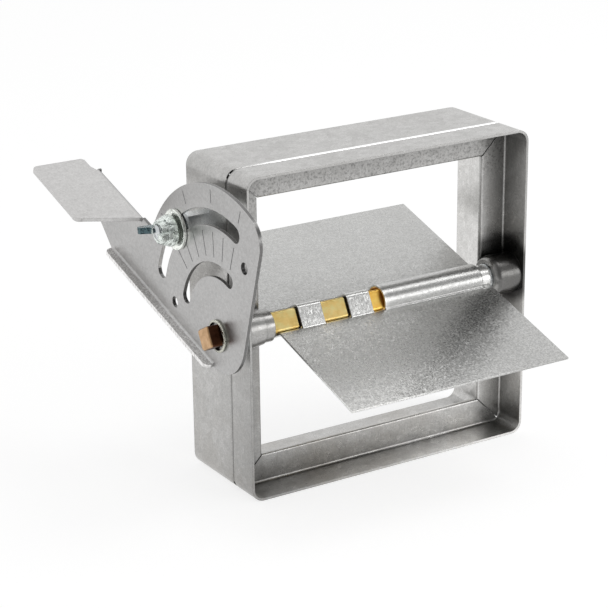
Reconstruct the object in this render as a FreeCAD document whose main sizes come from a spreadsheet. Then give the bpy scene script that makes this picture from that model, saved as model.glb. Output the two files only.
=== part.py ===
"""Square balancing damper: a folded casing, a tilting blade on a square bar, and a locking handle plate.

Lengths are in millimetres and angles in degrees. +X runs along the bar to the plain side of the
casing, +Y goes through the casing from the front edge to the back, and +Z is up. The origin is the
centre of the casing's front opening.
"""
import FreeCAD, Part
import math
import os
import Sketcher

DRIVING_SIZES = {
    # casing: one folded strip of galvanised sheet
    "casing_width": 125.0,
    "casing_height": 125.0,
    "casing_depth": 44.0,
    "casing_sheet": 1.0,
    "casing_corner_radius": 5.0,
    "rib_height": 12.1,
    "rib_front": 13.2,
    "rib_fold_gap": 0.3,
    "rib_bend_radius": 0.8,
    "seam_mouth_radius": 0.8,
    "mitre_gap": 0.35,
    "corner_relief_radius": 2.0,
    # turning axis, measured from the origin
    "axis_depth": 8.8,
    "axis_height": 2.8,
    "rest_tilt": 16.8,
    # hubs drawn inwards out of both side walls
    "hub_mouth_radius": 6.9,
    "hub_reach": 11.7,
    "hub_nose_length": 3.8,
    "hub_wall": 0.8,
    "hub_shoulder": 0.5,
    "dome_radius": 8.2,
    "dome_tip_radius": 6.9,
    "dome_crown_length": 3.0,
    "dome_crown_radius": 3.4,
    "dome_bearing_length": 2.2,
    "rib_notch_clearance": 0.9,
    "running_clearance": 0.1,
    # square bar
    "bar_across": 8.0,
    "bar_edge_radius": 1.0,
    "bar_overhang": 5.8,
    "bar_in_bead": 6.3,
    "bar_end_chamfer": 0.5,
    # blade: one sheet whose middle is slit into straps over the bar and bands under it
    "blade_sheet": 0.8,
    "blade_side_gap": 2.3,
    "blade_front_chord": 56.8,
    "blade_back_chord": 56.5,
    "band_clearance": 0.16,
    "band_root_radius": 1.4,
    "edge_window_width": 9.9,
    "strap_width": 9.9,
    "strap_pitch": 21.5,
    "last_window_width": 5.4,
    "bead_end_gap": 4.2,
    "collar_length": 3.2,
    "collar_overhang": 1.0,
    # pivot pin on the plain side
    "pin_radius": 4.2,
    "pin_reach": 9.0,
    "pin_chamfer": 0.6,
    # handle plate: quadrant, lever, lip and grip tab out of one sheet
    "plate_sheet": 1.5,
    "plate_standoff": 6.4,
    "sector_radius": 56.2,
    "sector_corner_radius": 10.0,
    "heel_reach": 17.5,
    "heel_radius": 18.0,
    "lever_top": 12.8,
    "lever_drop": 14.4,
    "lever_length": 101.0,
    "lever_tail": 82.6,
    "lever_nose": 97.0,
    "lever_nose_drop": 6.2,
    "bend_relief": 0.4,
    "plate_bend_radius": 1.0,
    "lip_width": 3.6,
    "lip_corner_radius": 2.5,
    "tab_width": 24.6,
    "tab_start": 63.2,
    "tab_slant": 7.0,
    "tab_end": 109.4,
    "tab_corner_radius": 2.6,
    "tab_fold_end": 100.1,
    "tab_step": 2.2,
    "tab_step_slope": 3.1,
    "slot_radius": 44.0,
    "slot_start": 1.2,
    "slot_sweep": 90.0,
    "inner_slot_radius": 24.75,
    "inner_slot_width": 5.5,
    "inner_slot_start": 3.2,
    "plate_hole_radius": 2.15,
    "low_hole_distance": 32.7,
    "low_hole_angle": -10.5,
    "high_hole_distance": 36.8,
    "high_hole_angle": 105.5,
    # locking stud and what is on it
    "stud_angle": 48.7,
    "stud_radius": 3.0,
    "stud_head_radius": 5.0,
    "stud_head_height": 1.5,
    "slot_clearance": 0.15,
    "nut_across_flats": 10.0,
    "back_washer_radius": 6.0,
    "flat_washer_radius": 7.7,
    "flat_washer_thickness": 1.2,
    "spring_washer_radius": 5.2,
    "spring_washer_thickness": 1.2,
    "spring_washer_gap": 1.2,
    "plate_play": 0.2,
    "back_washer_thickness": 1.2,
    "washer_clearance": 0.2,
    "thread_clearance": 0.05,
    "wing_hub_radius": 6.0,
    "wing_hub_top_radius": 4.3,
    "wing_hub_height": 5.4,
    "wing_flange_height": 1.4,
    "wing_span_radius": 9.6,
    "wing_height": 9.4,
    "wing_shoulder_height": 4.2,
    "wing_tip_radius": 1.4,
    "wing_back_radius": 4.4,
    "wing_hollow_radius": 6.0,
    "wing_thickness": 2.4,
    "wing_angle": -5.0,
    "stud_overhang": 0.7,
    # spacer behind the plate and ring outside it, both on the bar
    "spacer_wall": 2.0,
    "spacer_play": 0.3,
    "ring_width": 0.9,
    "ring_thickness": 0.8,
    "ring_dish": 0.3,
}

document = FreeCAD.newDocument("BalancingDamper")
sheet = document.addObject("Spreadsheet::Sheet", "Sizes")
for row, (alias, value) in enumerate(DRIVING_SIZES.items(), start=1):
    sheet.set(f"A{row}", alias)
    sheet.set(f"B{row}", str(value))
    sheet.setAlias(f"B{row}", alias)
document.recompute()


class Size:
    """A number together with the sheet expression that it comes from."""

    def __init__(self, text, number):
        self.text = text
        self.number = float(number)

    def __add__(self, other):
        other = as_size(other)
        return Size(f"({self.text} + {other.text})", self.number + other.number)

    def __sub__(self, other):
        other = as_size(other)
        return Size(f"({self.text} - {other.text})", self.number - other.number)

    def __mul__(self, other):
        other = as_size(other)
        return Size(f"({self.text} * {other.text})", self.number * other.number)

    def __truediv__(self, other):
        other = as_size(other)
        return Size(f"({self.text} / {other.text})", self.number / other.number)

    def __neg__(self):
        return Size(f"(0 - {self.text})", -self.number)


def as_size(value):
    return value if isinstance(value, Size) else Size(repr(float(value)), value)


def size(alias):
    """The driving size with this alias in the sheet."""
    return Size(f"Sizes.{alias}", sheet.get(alias))


def root(value):
    return Size(f"sqrt({value.text})", math.sqrt(value.number))


def cosine(angle):
    return Size(f"cos({angle.text} * 1deg)", math.cos(math.radians(angle.number)))


def sine(angle):
    return Size(f"sin({angle.text} * 1deg)", math.sin(math.radians(angle.number)))


def polar(radius, angle):
    return radius * cosine(angle), radius * sine(angle)


def new_body(label):
    body = document.addObject("PartDesign::Body", label)
    body.Label = label
    return body


def bind(thing, path, value):
    thing.setExpression(path, as_size(value).text)


def place(body, y, z, turn=None):
    """Put a body's X axis at height z and depth y, turned about +X."""
    angle = turn.number if turn else 0.0
    base = FreeCAD.Vector(0, y.number, z.number)
    body.Placement = FreeCAD.Placement(base, FreeCAD.Rotation(FreeCAD.Vector(1, 0, 0), angle))
    bind(body, "Placement.Base.y", y)
    bind(body, "Placement.Base.z", z)
    if turn:
        bind(body, "Placement.Rotation.Angle", turn)


def new_sketch(body, role, name, offset=0.0, shift=(0.0, 0.0)):
    """A sketch on one of the body's origin planes, moved along the plane's normal and in the plane."""
    sketch = body.newObject("Sketcher::SketchObject", name)
    plane = next(item for item in body.Origin.OriginFeatures if item.Role == role)
    sketch.AttachmentSupport = [(plane, "")]
    sketch.MapMode = "FlatFace"
    for axis, distance in zip("xyz", (*shift, offset)):
        bind(sketch, f"AttachmentOffset.Base.{axis}", distance)
    return sketch


def fix_point(sketch, item, point, x, y):
    """Dimension one point of a sketch item from the sketch's origin."""
    for kind, value in (("DistanceX", x), ("DistanceY", y)):
        number = sketch.addConstraint(Sketcher.Constraint(kind, -1, 1, item, point, value.number))
        bind(sketch, f"Constraints[{number}]", value)


def fix_radius(sketch, item, radius):
    number = sketch.addConstraint(Sketcher.Constraint("Radius", item, radius.number))
    bind(sketch, f"Constraints[{number}]", radius)


def arc_between(start, end, radius):
    """The arc shorter than a half turn from start to end: left turning for a positive radius."""
    middle = (start + end) * 0.5
    chord = end - start
    left = FreeCAD.Vector(-chord.y, chord.x, 0).normalize()
    rise = math.sqrt(radius ** 2 - (chord.Length / 2) ** 2)
    centre = middle + left * math.copysign(rise, radius)
    first, last = (start, end) if radius > 0 else (end, start)
    angles = [math.atan2(p.y - centre.y, p.x - centre.x) for p in (first, last)]
    circle = Part.Circle(centre, FreeCAD.Vector(0, 0, 1), abs(radius))
    return Part.ArcOfCircle(circle, *angles)


def outline(sketch, corners):
    """Draw a closed outline and dimension it.

    A corner is (x, y) where a straight edge leaves it, or (x, y, radius) where an arc does, with
    the radius negative for an arc that turns right.
    """
    corners = [tuple(as_size(value) for value in corner) for corner in corners]
    items = []
    for corner, following in zip(corners, corners[1:] + corners[:1]):
        start = FreeCAD.Vector(corner[0].number, corner[1].number, 0)
        end = FreeCAD.Vector(following[0].number, following[1].number, 0)
        if len(corner) == 3:
            items.append((sketch.addGeometry(arc_between(start, end, corner[2].number), False), corner[2]))
        else:
            items.append((sketch.addGeometry(Part.LineSegment(start, end), False), None))
    for (item, radius), (following, next_radius), corner in zip(items, items[1:] + items[:1],
                                                               corners[1:] + corners[:1]):
        end_point = 1 if radius and radius.number < 0 else 2
        start_point = 2 if next_radius and next_radius.number < 0 else 1
        sketch.addConstraint(Sketcher.Constraint("Coincident", item, end_point, following, start_point))
        fix_point(sketch, following, start_point, corner[0], corner[1])
    for item, radius in items:
        if radius:
            fix_radius(sketch, item, radius if radius.number > 0 else -radius)


def circle(sketch, x, y, radius):
    x, y, radius = as_size(x), as_size(y), as_size(radius)
    centre = FreeCAD.Vector(x.number, y.number, 0)
    item = sketch.addGeometry(Part.Circle(centre, FreeCAD.Vector(0, 0, 1), radius.number), False)
    fix_point(sketch, item, 3, x, y)
    fix_radius(sketch, item, radius)


def rectangle(sketch, left, right, low, high):
    outline(sketch, [(left, low), (right, low), (right, high), (left, high)])


def rounded_rectangle(sketch, half_x, half_y, radius):
    flat_x = half_x - radius
    flat_y = half_y - radius
    outline(sketch, [
        (flat_x, -half_y, radius), (half_x, -flat_y), (half_x, flat_y, radius), (flat_x, half_y),
        (-flat_x, half_y, radius), (-half_x, flat_y), (-half_x, -flat_y, radius), (-flat_x, -half_y),
    ])


def pad(body, sketch, length, reverse=False, middle=False):
    feature = body.newObject("PartDesign::Pad", sketch.Name + "Pad")
    feature.Profile = sketch
    feature.Reversed = reverse
    feature.Midplane = middle
    bind(feature, "Length", length)
    document.recompute()
    return feature


def pocket(body, sketch, length, reverse=False, middle=False):
    """Cut a sketch into the body, and make sure that it does cut."""
    before = body.Shape.Volume
    feature = body.newObject("PartDesign::Pocket", sketch.Name + "Pocket")
    feature.Profile = sketch
    feature.Reversed = reverse
    feature.Midplane = middle
    bind(feature, "Length", length)
    document.recompute()
    if body.Shape.Volume > before - 1e-3:
        raise RuntimeError(f"{feature.Name} removes nothing")
    return feature


def revolve(body, sketch):
    """Turn a sketch a full turn about its own horizontal axis."""
    feature = body.newObject("PartDesign::Revolution", sketch.Name + "Turned")
    feature.Profile = sketch
    feature.ReferenceAxis = (sketch, ["H_Axis"])
    feature.Angle = 360.0
    document.recompute()
    return feature


def edges_of(feature, wanted):
    return [f"Edge{number}" for number, edge in enumerate(feature.Shape.Edges, start=1) if wanted(edge)]


def soften(body, kind, name, wanted, amount):
    """Fillet or chamfer every edge of the body's last feature that wanted() picks."""
    base = body.Tip
    names = edges_of(base, wanted)
    if not names:
        raise RuntimeError(f"{name} finds no edge")
    feature = body.newObject(f"PartDesign::{kind}", name)
    feature.Base = (base, names)
    bind(feature, "Radius" if kind == "Fillet" else "Size", amount)
    document.recompute()
    return feature


def near(value, target):
    return abs(value - as_size(target).number) < 1e-4


def lies_at(edge, **planes):
    """Whether the whole edge lies in each of the named planes, such as x=12 and z=0."""
    box = edge.BoundBox
    limits = {"x": (box.XMin, box.XMax), "y": (box.YMin, box.YMax), "z": (box.ZMin, box.ZMax)}
    return all(near(limit, value) for axis, value in planes.items() for limit in limits[axis])


# Places that several pieces share
half_width = size("casing_width") / 2
half_height = size("casing_height") / 2
sheet_thickness = size("casing_sheet")
opening_half_width = half_width - size("rib_height")
opening_half_height = half_height - size("rib_height")
rib_thickness = sheet_thickness * 2 + size("rib_fold_gap")
axis_y = size("axis_depth")
axis_z = size("axis_height")
tilt = size("rest_tilt")
hub_tip = half_width - sheet_thickness - size("hub_reach")
bar_corner = size("bar_across") / 2 * math.sqrt(2) - size("bar_edge_radius") * (math.sqrt(2) - 1)
hub_bore = bar_corner + size("running_clearance")
stud_y = axis_y + size("slot_radius") * cosine(size("stud_angle"))
stud_z = axis_z + size("slot_radius") * sine(size("stud_angle"))
slot_half_width = size("stud_radius") + size("slot_clearance")
plate_inner = -half_width - size("plate_standoff")
plate_outer = plate_inner - size("plate_sheet")
plate_bend = size("plate_bend_radius") + size("plate_sheet")
lip_start = size("heel_radius") - size("heel_reach")
bar_outer_end = plate_outer - size("bar_overhang")
blade_edge = opening_half_width - size("blade_side_gap")
first_strap = size("edge_window_width") - blade_edge
bead_start = first_strap + size("strap_pitch") + size("strap_width") + size("last_window_width")
collar_start = blade_edge - size("collar_length")
collar_end = blade_edge + size("collar_overhang")


def casing_walls(body):
    """The four walls with the double rib folded out of them, its seam open on the outside."""
    walls = new_sketch(body, "XZ_Plane", "Walls")
    radius = size("casing_corner_radius")
    rounded_rectangle(walls, half_width, half_height, radius)
    rounded_rectangle(walls, half_width - sheet_thickness, half_height - sheet_thickness,
                      radius - sheet_thickness)
    pad(body, walls, size("casing_depth"), reverse=True)

    rib = new_sketch(body, "XZ_Plane", "Rib", offset=-size("rib_front"))
    middle = sheet_thickness / 2
    rounded_rectangle(rib, half_width - middle, half_height - middle, radius - middle)
    rectangle(rib, -opening_half_width, opening_half_width, -opening_half_height, opening_half_height)
    pad(body, rib, rib_thickness, reverse=True)

    on_wall = (half_width - radius).number
    on_roof = (half_height - sheet_thickness).number - 1e-3

    def at_root(depth):
        def wanted(edge):
            box = edge.BoundBox
            meets_wall = max(box.XMax, -box.XMin) > on_wall or max(box.ZMax, -box.ZMin) > on_roof
            return meets_wall and lies_at(edge, y=depth)
        return wanted

    for name, depth in (("FrontRoot", size("rib_front")), ("BackRoot", size("rib_front") + rib_thickness)):
        soften(body, "Fillet", name, at_root(depth), size("rib_bend_radius"))

    def at_opening(edge):
        box = edge.BoundBox
        return (max(box.XMax, -box.XMin) < opening_half_width.number + 1e-3
                and max(box.ZMax, -box.ZMin) < opening_half_height.number + 1e-3
                and box.YLength < 1e-3)

    soften(body, "Fillet", "FoldNose", at_opening, size("rib_bend_radius"))

    seam = new_sketch(body, "XZ_Plane", "Seam", offset=-size("rib_front") - sheet_thickness)
    rounded_rectangle(seam, half_width + sheet_thickness, half_height + sheet_thickness,
                      radius + sheet_thickness)
    rectangle(seam, -(opening_half_width + sheet_thickness), opening_half_width + sheet_thickness,
              -(opening_half_height + sheet_thickness), opening_half_height + sheet_thickness)
    pocket(body, seam, size("rib_fold_gap"))

    seam_front = size("rib_front") + sheet_thickness
    seam_back = seam_front + size("rib_fold_gap")

    def at_seam_mouth(edge):
        box = edge.BoundBox
        outside = (max(box.XMax, -box.XMin) > half_width.number - radius.number - 1e-3
                   and max(box.ZMax, -box.ZMin) > half_height.number - radius.number - 1e-3)
        reaches_face = (near(box.XMax, half_width) or near(box.XMin, -half_width)
                        or near(box.ZMax, half_height) or near(box.ZMin, -half_height))
        return outside and reaches_face and (lies_at(edge, y=seam_front) or lies_at(edge, y=seam_back))

    soften(body, "Fillet", "SeamMouth", at_seam_mouth, size("seam_mouth_radius"))


def rib_corners(body):
    """Diagonal mitre gaps in the rib, and a relief through each outer corner at the seam."""
    mitres = new_sketch(body, "XZ_Plane", "Mitres", offset=-size("rib_front") + sheet_thickness)
    lean = size("mitre_gap") / 2 / math.sqrt(2)
    inset = size("rib_height") - sheet_thickness - size("rib_bend_radius")
    for side in (1, -1):
        for up in (1, -1):
            near_x = (opening_half_width - sheet_thickness) * side
            near_z = (opening_half_height - sheet_thickness) * up
            far_x = (opening_half_width + inset) * side
            far_z = (opening_half_height + inset) * up
            outline(mitres, [
                (near_x + lean * side, near_z - lean * up), (far_x + lean * side, far_z - lean * up),
                (far_x - lean * side, far_z + lean * up), (near_x - lean * side, near_z + lean * up),
            ])
    pocket(body, mitres, rib_thickness + sheet_thickness * 2)

    relief = new_sketch(body, "XZ_Plane", "CornerRelief", offset=-size("rib_front") - sheet_thickness / 2)
    corner_inset = size("casing_corner_radius") * (1 - 1 / math.sqrt(2))
    for side in (1, -1):
        for up in (1, -1):
            circle(relief, (half_width - corner_inset) * side, (half_height - corner_inset) * up,
                   size("corner_relief_radius"))
    pocket(body, relief, rib_thickness - sheet_thickness)


def hub_opening(body, name, side, mouth, notch_radius):
    """Clear the rib and the wall where a hub is drawn inwards out of one side wall."""
    reverse = side > 0
    inside = (half_width - sheet_thickness) * side
    notch = new_sketch(body, "YZ_Plane", name + "RibNotch", offset=inside, shift=(axis_y, axis_z))
    circle(notch, 0, 0, notch_radius)
    pocket(body, notch, size("rib_height"), reverse=not reverse)

    hole = new_sketch(body, "YZ_Plane", name + "Hole", offset=half_width * side, shift=(axis_y, axis_z))
    circle(hole, 0, 0, mouth)
    pocket(body, hole, sheet_thickness, reverse=not reverse)


def bar_hub(body):
    """A stepped cone with a narrow nose, which the square bar turns in."""
    outside = -half_width
    inside = sheet_thickness - half_width
    tip = -hub_tip
    step = -(hub_tip + size("hub_nose_length"))
    mouth = size("hub_mouth_radius")
    bore = hub_bore
    nose = bore + size("hub_wall")
    hub_opening(body, "BarHub", -1, mouth, nose + size("rib_notch_clearance"))
    drawn = new_sketch(body, "XY_Plane", "BarHub", offset=axis_z, shift=(0, axis_y))
    outline(drawn, [
        (outside, mouth), (step, bore), (tip, bore), (tip, nose), (step, nose),
        (step, nose + size("hub_shoulder")), (inside, mouth + size("hub_wall")),
        (inside, mouth + size("hub_wall") * 2), (outside, mouth + size("hub_wall") * 2),
    ])
    revolve(body, drawn)


def pin_hub(body):
    """A wide dome with a rounded crown, which the pivot pin turns in."""
    outside = half_width
    inside = half_width - sheet_thickness
    dome = size("dome_radius")
    mouth = dome - size("hub_wall")
    crown_end = hub_tip + size("dome_crown_length")
    bore = hub_bore
    hub_opening(body, "PinHub", 1, mouth, dome - size("hub_wall") / 2)
    drawn = new_sketch(body, "XY_Plane", "PinHub", offset=axis_z, shift=(0, axis_y))
    outline(drawn, [
        (outside, mouth), (crown_end, mouth), (hub_tip + size("dome_bearing_length"), bore), (hub_tip, bore),
        (hub_tip, size("dome_tip_radius"), -size("dome_crown_radius")), (crown_end, dome), (inside, dome),
        (inside, dome + size("hub_wall") / 2), (outside, dome + size("hub_wall") / 2),
    ])
    revolve(body, drawn)


def make_casing():
    body = new_body("casing")
    casing_walls(body)
    rib_corners(body)
    bar_hub(body)
    pin_hub(body)
    stud_hole = new_sketch(body, "YZ_Plane", "StudHole", offset=-half_width, shift=(stud_y, stud_z))
    circle(stud_hole, 0, 0, size("stud_radius"))
    pocket(body, stud_hole, sheet_thickness, reverse=True)
    return body


blade_middle = size("blade_sheet") / 2
tight_bend = size("band_root_radius") - blade_middle
wide_bend = size("band_root_radius") + blade_middle
bead_middle = bar_corner + size("band_clearance") + blade_middle
bead_reach = bead_middle + size("band_root_radius")
leaf_root = root(bead_reach * bead_reach - size("band_root_radius") * size("band_root_radius"))


def bead_section(sketch):
    """The section of the round bead, from one leaf over the bar's corner to the other leaf."""
    outer = bead_middle + blade_middle
    inner = bead_middle - blade_middle

    def tangent(radius):
        share = radius / bead_reach
        return leaf_root * share, size("band_root_radius") * share

    outer_y, outer_z = tangent(outer)
    inner_y, inner_z = tangent(inner)
    outline(sketch, [
        (leaf_root, -blade_middle), (leaf_root, blade_middle, -tight_bend), (outer_y, outer_z, outer),
        (-outer_y, outer_z, -tight_bend), (-leaf_root, blade_middle), (-leaf_root, -blade_middle, wide_bend),
        (-inner_y, inner_z, -inner), (inner_y, inner_z, wide_bend),
    ])


def strap_section(sketch, side):
    """The section of a strap with its flats along the bar's faces, over it (side 1) or under it (-1)."""
    slant = 1 / math.sqrt(2)
    bend = size("band_root_radius")
    face_distance = size("bar_across") / 2 + size("band_clearance") + blade_middle
    foot = (face_distance + bend) * math.sqrt(2) - bend
    crown = (size("bar_across") / 2 - size("bar_edge_radius")) * math.sqrt(2)
    crown_inner = size("bar_edge_radius") + size("band_clearance")
    crown_outer = crown_inner + size("blade_sheet")

    def bend_end(radius):
        return foot - radius * slant, (bend - radius * slant) * side

    def crown_end(radius):
        return radius * slant, (crown + radius * slant) * side

    def mirrored(point):
        return -point[0], point[1]

    top = blade_middle * side
    tight = tight_bend * side
    wide = wide_bend * side
    outline(sketch, [
        (leaf_root, -top), (leaf_root, top), (foot, top, -tight), bend_end(tight_bend),
        (*crown_end(crown_outer), crown_outer * side), mirrored(crown_end(crown_outer)),
        (*mirrored(bend_end(tight_bend)), -tight), (-foot, top), (-leaf_root, top), (-leaf_root, -top),
        (-foot, -top, wide), mirrored(bend_end(wide_bend)),
        (*mirrored(crown_end(crown_inner)), -crown_inner * side), crown_end(crown_inner),
        (*bend_end(wide_bend), wide), (foot, -top),
    ])


def strap(body, name, side, start, width):
    sketch = new_sketch(body, "YZ_Plane", name, offset=start)
    strap_section(sketch, side)
    return pad(body, sketch, width)


def make_blade():
    """A flat sheet slit across its middle: straps over the bar, bands under it, then a long bead."""
    body = new_body("blade")
    thickness = size("blade_sheet")
    width = size("strap_width")
    pitch = size("strap_pitch")

    back_leaf = new_sketch(body, "XY_Plane", "BackLeaf", offset=-blade_middle)
    rectangle(back_leaf, -blade_edge, blade_edge, leaf_root, size("blade_back_chord"))
    pad(body, back_leaf, thickness)

    strap(body, "EdgeWindow", -1, -blade_edge, size("edge_window_width"))
    strap(body, "FirstStrap", 1, first_strap, width)
    strap(body, "MiddleWindow", -1, first_strap + width, pitch - width)
    strap(body, "SecondStrap", 1, first_strap + pitch, width)
    strap(body, "LastWindow", -1, first_strap + pitch + width, size("last_window_width"))

    bead = new_sketch(body, "YZ_Plane", "Bead", offset=bead_start)
    bead_section(bead)
    pad(body, bead, blade_edge - size("bead_end_gap") - bead_start)

    front_leaf = new_sketch(body, "XY_Plane", "FrontLeaf", offset=-blade_middle)
    rectangle(front_leaf, -blade_edge, blade_edge, -size("blade_front_chord"), -leaf_root)
    pad(body, front_leaf, thickness)

    webs = new_sketch(body, "XY_Plane", "CollarWebs", offset=-blade_middle)
    web_root = size("pin_radius") + blade_middle
    rectangle(webs, collar_start, blade_edge, web_root, leaf_root)
    rectangle(webs, collar_start, blade_edge, -leaf_root, -web_root)
    pad(body, webs, thickness)

    collar = new_sketch(body, "YZ_Plane", "Collar", offset=collar_start)
    circle(collar, 0, 0, size("pin_radius") + thickness)
    circle(collar, 0, 0, size("pin_radius"))
    pad(body, collar, collar_end - collar_start)
    place(body, axis_y, axis_z, tilt)
    return body


def diamond(sketch, corner):
    outline(sketch, [(corner, 0), (0, corner), (-corner, 0), (0, -corner)])


def make_bar():
    """The square bar, on edge against the blade, from outside the plate to inside the bead."""
    body = new_body("square_bar")
    section = new_sketch(body, "YZ_Plane", "Section", offset=bar_outer_end)
    diamond(section, size("bar_across") / 2 * math.sqrt(2))
    pad(body, section, bead_start + size("bar_in_bead") - bar_outer_end)
    soften(body, "Fillet", "LongEdges", lambda edge: edge.BoundBox.XLength > 1, size("bar_edge_radius"))
    soften(body, "Chamfer", "OuterEnd", lambda edge: lies_at(edge, x=bar_outer_end), size("bar_end_chamfer"))
    place(body, axis_y, axis_z, tilt)
    return body


def make_pin():
    """The pivot on the plain side: a journal in the hub and a thinner spigot in the blade's collar."""
    body = new_body("pivot_pin")
    journal = new_sketch(body, "YZ_Plane", "Journal", offset=collar_end)
    circle(journal, 0, 0, bar_corner)
    pad(body, journal, half_width - collar_end)
    spigot = new_sketch(body, "YZ_Plane", "Spigot", offset=blade_edge - size("pin_reach"))
    circle(spigot, 0, 0, size("pin_radius"))
    pad(body, spigot, collar_end - blade_edge + size("pin_reach"))
    soften(body, "Chamfer", "OuterEnd", lambda edge: lies_at(edge, x=half_width), size("pin_chamfer"))
    place(body, axis_y, axis_z, tilt)
    return body


def plate_web(body):
    """The quadrant and the lever, flat, up to the bends of the lip and the tab."""
    web = new_sketch(body, "YZ_Plane", "Web", offset=plate_outer)
    sector = size("sector_radius")
    corner = size("sector_corner_radius")
    heel = size("heel_reach")
    low = -size("lever_drop") + size("bend_relief")
    high = size("lever_top") - size("bend_relief")
    low_bend = -size("lever_drop") + plate_bend
    high_bend = size("lever_top") - plate_bend
    centre_y = heel - corner
    centre_z = root((sector - corner) * (sector - corner) - centre_y * centre_y)
    stretch = sector / (sector - corner)
    outline(web, [
        (lip_start, low), (lip_start, low_bend), (size("lever_tail"), low_bend), (size("lever_tail"), low),
        (size("lever_nose"), -size("lever_nose_drop")), (size("lever_length"), high),
        (size("tab_fold_end"), high), (size("tab_fold_end"), high_bend), (size("tab_start"), high_bend),
        (size("tab_start"), high), (root(sector * sector - high * high), high, sector),
        (-centre_y * stretch, centre_z * stretch, corner), (-heel, centre_z),
        (-heel, low + size("heel_radius"), size("heel_radius")),
    ])
    pad(body, web, size("plate_sheet"))


def outward_bend(body, name, edge_z, up, start, end):
    """A quarter bend from the web to a flange whose outer face lies at edge_z."""
    section = new_sketch(body, "XZ_Plane", name, offset=-start)
    web_end = edge_z - plate_bend * up
    flange_start = plate_inner - plate_bend
    outline(section, [
        (plate_outer, web_end), (plate_inner, web_end, plate_bend * up), (flange_start, edge_z),
        (flange_start, edge_z - size("plate_sheet") * up, -size("plate_bend_radius") * up),
    ])
    pad(body, section, end - start, reverse=True)


def plate_folds(body):
    """The stiffening lip along the lever's lower edge and the grip tab along its upper edge."""
    thickness = size("plate_sheet")
    flange_start = plate_inner - plate_bend
    outward_bend(body, "LipBend", -size("lever_drop"), -1, lip_start, size("lever_tail"))
    lip_edge = plate_outer - size("lip_width")
    round_off = size("lip_corner_radius")
    lip = new_sketch(body, "XY_Plane", "Lip", offset=-size("lever_drop"))
    outline(lip, [
        (flange_start, lip_start), (flange_start, size("lever_tail")),
        (lip_edge + round_off, size("lever_tail"), round_off), (lip_edge, size("lever_tail") - round_off),
        (lip_edge, lip_start + round_off, round_off), (lip_edge + round_off, lip_start),
    ])
    pad(body, lip, thickness)

    outward_bend(body, "TabBend", size("lever_top"), 1, size("tab_start"), size("tab_fold_end"))
    tab_edge = plate_outer - size("tab_width")
    round_off = size("tab_corner_radius")
    step = plate_outer - size("tab_step")
    slant_run = flange_start - tab_edge
    slant_share = (slant_run - round_off) / slant_run
    tab = new_sketch(body, "XY_Plane", "Tab", offset=size("lever_top") - thickness)
    outline(tab, [
        (flange_start, size("tab_start")), (flange_start, size("tab_fold_end")),
        (step, size("tab_fold_end") + size("tab_step_slope")), (step, size("tab_end") - size("tab_step") / 2),
        (step - size("tab_step") / 2, size("tab_end")), (tab_edge + round_off, size("tab_end"), round_off),
        (tab_edge, size("tab_end") - round_off),
        (tab_edge, size("tab_start") + size("tab_slant") + round_off, round_off),
        (flange_start - slant_run * slant_share, size("tab_start") + size("tab_slant") * slant_share),
    ])
    pad(body, tab, thickness)


def slot_sector(sketch, radius, half_slot, start, sweep):
    """The curved middle of a slot about the origin, without its round ends."""
    end = start + sweep
    inner = radius - half_slot
    outer = radius + half_slot
    outline(sketch, [
        polar(inner, start), (*polar(outer, start), outer), polar(outer, end), (*polar(inner, end), -inner),
    ])


def make_plate():
    body = new_body("handle_plate")
    plate_web(body)
    plate_folds(body)

    slots = new_sketch(body, "YZ_Plane", "Slots", offset=plate_outer)
    inner_half = size("inner_slot_width") / 2
    slot_sector(slots, size("slot_radius"), slot_half_width, size("slot_start"), size("slot_sweep"))
    slot_sector(slots, size("inner_slot_radius"), inner_half, size("inner_slot_start"), size("slot_sweep"))
    pocket(body, slots, size("plate_sheet"), reverse=True)

    ends = new_sketch(body, "YZ_Plane", "SlotEnds", offset=plate_outer)
    for radius, half_slot, start in ((size("slot_radius"), slot_half_width, size("slot_start")),
                                     (size("inner_slot_radius"), inner_half, size("inner_slot_start"))):
        for angle in (start, start + size("slot_sweep")):
            circle(ends, *polar(radius, angle), half_slot)
    pocket(body, ends, size("plate_sheet"), reverse=True)

    holes = new_sketch(body, "YZ_Plane", "Holes", offset=plate_outer)
    for distance, angle in (("low_hole_distance", "low_hole_angle"), ("high_hole_distance", "high_hole_angle")):
        circle(holes, *polar(size(distance), size(angle)), size("plate_hole_radius"))
    diamond(holes, size("bar_across") / 2 * math.sqrt(2))
    pocket(body, holes, size("plate_sheet"), reverse=True)
    place(body, axis_y, axis_z, tilt)
    return body


def make_spacer():
    """The tube on the bar that holds the plate off the casing wall."""
    body = new_body("bar_spacer")
    section = new_sketch(body, "YZ_Plane", "Section", offset=plate_inner)
    circle(section, 0, 0, bar_corner + size("spacer_wall"))
    circle(section, 0, 0, bar_corner)
    pad(body, section, size("plate_standoff") - size("spacer_play"))
    place(body, axis_y, axis_z, tilt)
    return body


def make_ring():
    """The dished push-on ring that keeps the plate on the bar."""
    body = new_body("retaining_ring")
    section = new_sketch(body, "XY_Plane", "Section")
    inner = bar_corner
    outer = inner + size("ring_width")
    crown = plate_outer - size("ring_dish")
    back = size("ring_thickness")
    outline(section, [
        (plate_outer, outer), (plate_outer - back, outer), (crown - back, inner), (crown, inner),
    ])
    revolve(body, section)
    place(body, axis_y, axis_z, tilt)
    return body


def place_on_stud(body, turn=None):
    place(body, stud_y, stud_z, turn)


wing_base = (plate_outer - size("plate_play") - size("flat_washer_thickness")
             - size("spring_washer_thickness"))
stud_end = wing_base - size("wing_hub_height") - size("stud_overhang")


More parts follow.
